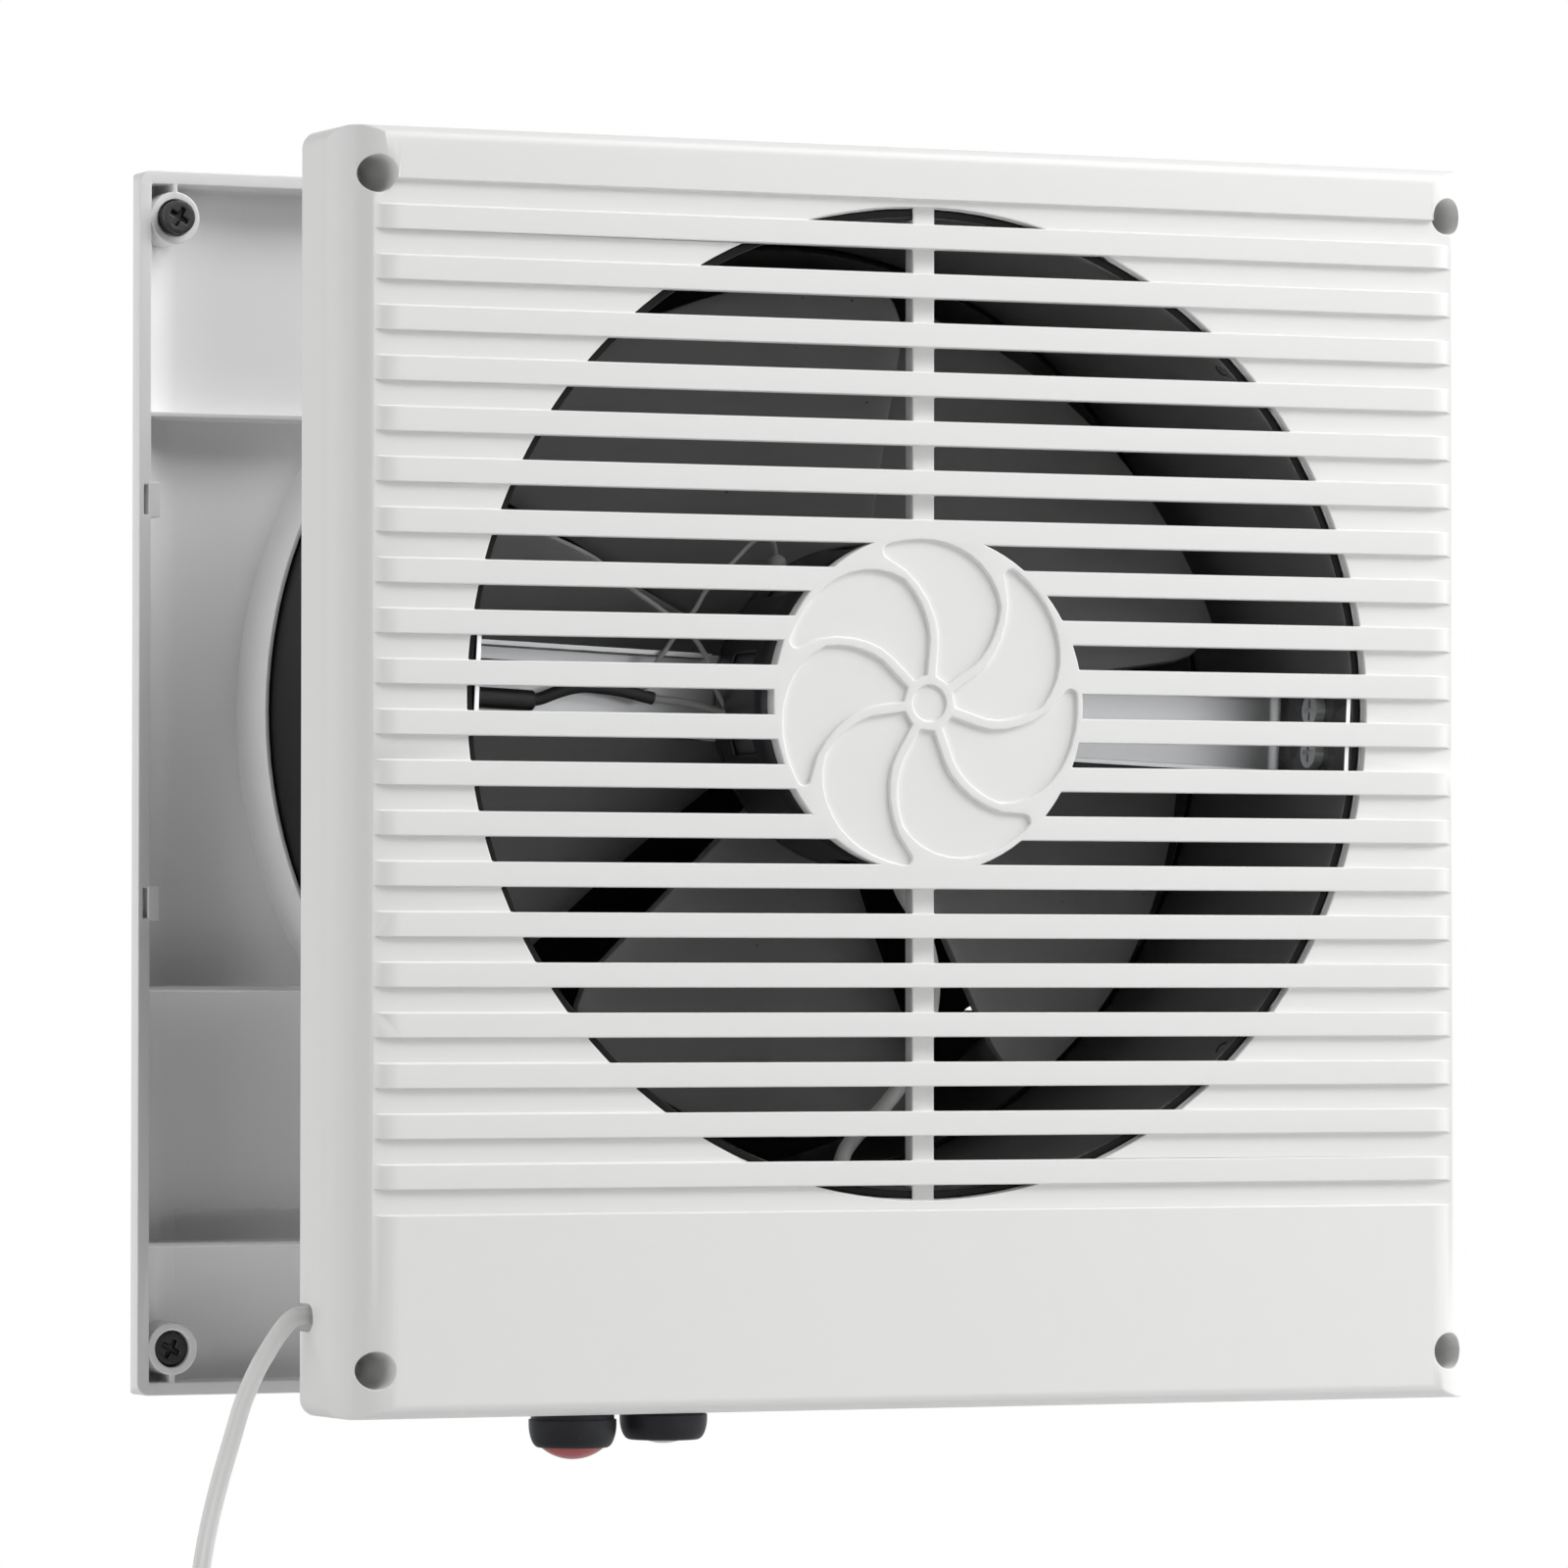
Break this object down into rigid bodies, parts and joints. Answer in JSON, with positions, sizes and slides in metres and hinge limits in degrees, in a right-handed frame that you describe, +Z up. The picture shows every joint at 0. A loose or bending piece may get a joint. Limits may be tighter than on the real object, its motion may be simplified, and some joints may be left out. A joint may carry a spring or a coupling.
{
  "type": "room-to-room fan",
  "caption": "Square slatted fan that stands in a round hole through a wall: front cover with push buttons, black duct with motor and impeller, rear cover that slides to suit the wall.",
  "frame": {"origin": "middle of the front cover's wall side, in the plane of its rim, between its four corner screw holes", "axes": "+Y into the wall towards the rear cover, +Z up, +X to the right seen from the front"},
  "size_m": [0.329, 0.147, 0.4754],
  "materials": {
    "white_plastic": "satin",
    "black_plastic": "satin",
    "zinc_steel": "satin",
    "black_steel": "satin",
    "galvanised_sheet": "satin",
    "motor_paint": "satin",
    "stack_iron": "satin",
    "copper_wire": "gloss",
    "bush_bronze": "satin",
    "impeller_plastic": "satin",
    "filter_foam": "matte",
    "button_plastic": "satin",
    "red_lens": "gloss",
    "pale_lens": "gloss",
    "contact_brass": "satin",
    "wire_brown": "satin",
    "wire_white": "satin",
    "wire_grey": "satin",
    "splice_black": "satin",
    "cord_vinyl": "satin",
    "tie_black": "satin"
  },
  "bodies": {
    "housing": {"front_cover": "white_plastic", "front_sleeve": "black_plastic", "sleeve_screws": "zinc_steel", "motor_strap": "galvanised_sheet", "strap_screws": "zinc_steel", "strap_nuts": "zinc_steel", "motor_can": "motor_paint", "motor_end_plate": "motor_paint", "motor_bolts": "zinc_steel", "motor_nuts": "zinc_steel", "stator_stack": "stack_iron", "stator_windings": "copper_wire", "shaft_bushes": "bush_bronze", "red_bezel": "button_plastic", "red_switch": "button_plastic", "red_barrel_nut": "button_plastic", "pale_bezel": "button_plastic", "pale_switch": "button_plastic", "pale_barrel_nut": "button_plastic", "switch_terminals": "contact_brass", "cord_clamp": "black_plastic", "clamp_screws": "zinc_steel", "live_wire": "wire_brown", "link_wire": "wire_brown", "motor_lead": "wire_white", "strap_lead": "wire_grey", "wire_splices": "splice_black", "cord": "cord_vinyl", "cord_coil": "cord_vinyl", "cord_tail": "cord_vinyl", "cord_tie": "tie_black", "plug_body": "cord_vinyl", "plug_blades": "contact_brass"},
    "fan_wheel": {"motor_shaft": "zinc_steel", "rotor": "stack_iron", "impeller": "impeller_plastic", "impeller_washer": "zinc_steel", "impeller_nut": "zinc_steel"},
    "rear": {"rear_cover": "white_plastic", "rear_sleeve": "black_plastic", "rear_sleeve_screws": "zinc_steel", "dust_filter": "filter_foam", "rear_screws": "black_steel"},
    "red_button": {"red_lens": "red_lens"},
    "pale_button": {"pale_lens": "pale_lens"}
  },
  "joints": [
    {"name": "wheel_spin", "type": "hinge", "parent": "housing", "child": "fan_wheel", "pos_m": [0, 0, 0.017], "axis": [0, 1, 0], "continuous": true},
    {"name": "rear_slide", "type": "slide", "parent": "housing", "child": "rear", "axis": [0, 1, 0], "range_m": [0, 0.045]},
    {"name": "red_press", "type": "slide", "parent": "housing", "child": "red_button", "axis": [0, 0, 1], "range_m": [0, 0.002], "stiffness_N_per_m": 900, "springref_m": -0.0004},
    {"name": "pale_press", "type": "slide", "parent": "housing", "child": "pale_button", "axis": [0, 0, 1], "range_m": [0, 0.002], "stiffness_N_per_m": 900, "springref_m": -0.0004}
  ]
}
